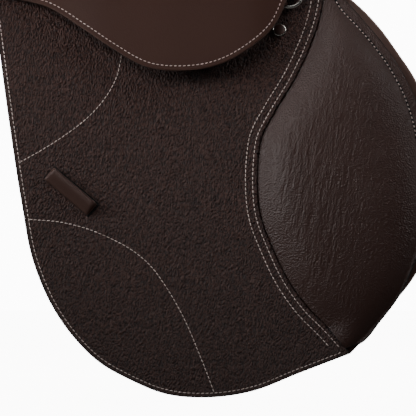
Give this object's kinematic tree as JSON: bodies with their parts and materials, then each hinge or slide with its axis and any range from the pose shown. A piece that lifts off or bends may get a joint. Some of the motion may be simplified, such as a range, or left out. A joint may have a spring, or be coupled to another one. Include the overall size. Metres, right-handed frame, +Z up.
{
  "type": "english saddle",
  "caption": "General purpose riding saddle with lifting flaps and skirts, knee pads, stuffed panels, girth straps, stirrup bars and rings.",
  "frame": {"origin": "on the plane of symmetry, in the channel between the panels, over the horse's spine", "axes": "+X points forward at the pommel, +Y at the horse's left (near) side, +Z up"},
  "size_m": [0.556, 0.4064, 0.4525],
  "materials": {
    "bridle_leather": "pebble-grained dark brown leather",
    "smooth_leather": "smooth padded dark brown calf leather",
    "strap_leather": "plain waxed brown strap leather",
    "steel": "polished nickel plate",
    "laminated_beech": "lacquered laminated beech",
    "web": "woven linen webbing",
    "foam": "seat foam"
  },
  "bodies": {
    "root": {"tree_head": "laminated_beech", "gullet_plate": "steel", "tree_rail_l": "laminated_beech", "tree_rail_r": "laminated_beech", "tree_cantle": "laminated_beech", "seat_web": "web", "cross_web_front": "web", "cross_web_rear": "web", "seat_foam": "foam", "seat_cover": "smooth_leather", "seat_welt_l": "smooth_leather", "seat_welt_r": "smooth_leather", "panel_l": "smooth_leather", "panel_r": "smooth_leather", "sweat_flap_l": "bridle_leather", "sweat_flap_r": "bridle_leather", "point_pocket_l": "strap_leather", "point_pocket_r": "strap_leather", "knee_block_l": "smooth_leather", "knee_block_r": "smooth_leather", "thigh_block_l": "smooth_leather", "thigh_block_r": "smooth_leather", "stirrup_bar_l": "steel", "stirrup_bar_r": "steel", "rear_chape_l": "strap_leather", "rear_chape_r": "strap_leather", "pommel_nail_l": "steel", "pommel_nail_r": "steel"},
    "flap_l": {"flap_lining_l": "strap_leather", "flap_l": "bridle_leather", "knee_pad_l": "smooth_leather", "keeper_l": "smooth_leather", "flap_nail_l": "steel", "front_chape_l": "strap_leather"},
    "skirt_l": {"skirt_l": "smooth_leather"},
    "front_dee_l": {"front_dee_l": "steel"},
    "rear_dee_l": {"rear_dee_l": "steel"},
    "bar_catch_l": {"bar_catch_l": "steel"},
    "girth_straps_l": {"girth_strap_front_l": "strap_leather", "girth_strap_middle_l": "strap_leather", "girth_strap_rear_l": "strap_leather"},
    "buckle_guard_l": {"buckle_guard_l": "strap_leather"},
    "flap_r": {"flap_lining_r": "strap_leather", "flap_r": "bridle_leather", "knee_pad_r": "smooth_leather", "keeper_r": "smooth_leather", "flap_nail_r": "steel", "front_chape_r": "strap_leather"},
    "skirt_r": {"skirt_r": "smooth_leather"},
    "front_dee_r": {"front_dee_r": "steel"},
    "rear_dee_r": {"rear_dee_r": "steel"},
    "bar_catch_r": {"bar_catch_r": "steel"},
    "girth_straps_r": {"girth_strap_front_r": "strap_leather", "girth_strap_middle_r": "strap_leather", "girth_strap_rear_r": "strap_leather"},
    "buckle_guard_r": {"buckle_guard_r": "strap_leather"}
  },
  "joints": [
    {"name": "flap_lift_l", "type": "hinge", "parent": "root", "child": "flap_l", "pos_m": [0.09, 0.083, 0.072], "axis": [1, 0, 0], "range_deg": [0, 80]},
    {"name": "skirt_lift_l", "type": "hinge", "parent": "flap_l", "child": "skirt_l", "pos_m": [0.09, 0.083, 0.072], "axis": [1, 0, 0], "range_deg": [0, 60]},
    {"name": "front_dee_swing_l", "type": "hinge", "parent": "flap_l", "child": "front_dee_l", "pos_m": [0.1995, 0.12222, 0.0195], "axis": [1, 0, 0], "range_deg": [0, 8]},
    {"name": "rear_dee_swing_l", "type": "hinge", "parent": "root", "child": "rear_dee_l", "pos_m": [-0.23825, 0.055, 0.106], "axis": [0, 1, 0], "range_deg": [0, 90]},
    {"name": "bar_catch_turn_l", "type": "hinge", "parent": "root", "child": "bar_catch_l", "pos_m": [0.0757, 0.12119, 0.02696], "axis": [0, 0.8926, 0.4508], "range_deg": [0, 90]},
    {"name": "girth_straps_sway_l", "type": "hinge", "parent": "root", "child": "girth_straps_l", "pos_m": [0.083, 0.10727, 0.01], "axis": [0, 0.9746, 0.2241], "range_deg": [-3, 3]},
    {"name": "buckle_guard_slide_l", "type": "slide", "parent": "girth_straps_l", "child": "buckle_guard_l", "axis": [0, -0.2241, 0.9746], "range_m": [0, 0.033]},
    {"name": "flap_lift_r", "type": "hinge", "parent": "root", "child": "flap_r", "pos_m": [0.09, -0.083, 0.072], "axis": [-1, 0, 0], "range_deg": [0, 80]},
    {"name": "skirt_lift_r", "type": "hinge", "parent": "flap_r", "child": "skirt_r", "pos_m": [0.09, -0.083, 0.072], "axis": [-1, 0, 0], "range_deg": [0, 60]},
    {"name": "front_dee_swing_r", "type": "hinge", "parent": "flap_r", "child": "front_dee_r", "pos_m": [0.1995, -0.12222, 0.0195], "axis": [-1, 0, 0], "range_deg": [0, 8]},
    {"name": "rear_dee_swing_r", "type": "hinge", "parent": "root", "child": "rear_dee_r", "pos_m": [-0.23825, -0.055, 0.106], "axis": [0, 1, 0], "range_deg": [0, 90]},
    {"name": "bar_catch_turn_r", "type": "hinge", "parent": "root", "child": "bar_catch_r", "pos_m": [0.0757, -0.12119, 0.02696], "axis": [0, 0.8926, -0.4508], "range_deg": [0, 90]},
    {"name": "girth_straps_sway_r", "type": "hinge", "parent": "root", "child": "girth_straps_r", "pos_m": [0.083, -0.10727, 0.01], "axis": [0, -0.9746, 0.2241], "range_deg": [-3, 3]},
    {"name": "buckle_guard_slide_r", "type": "slide", "parent": "girth_straps_r", "child": "buckle_guard_r", "axis": [0, 0.2241, 0.9746], "range_m": [0, 0.033]}
  ]
}
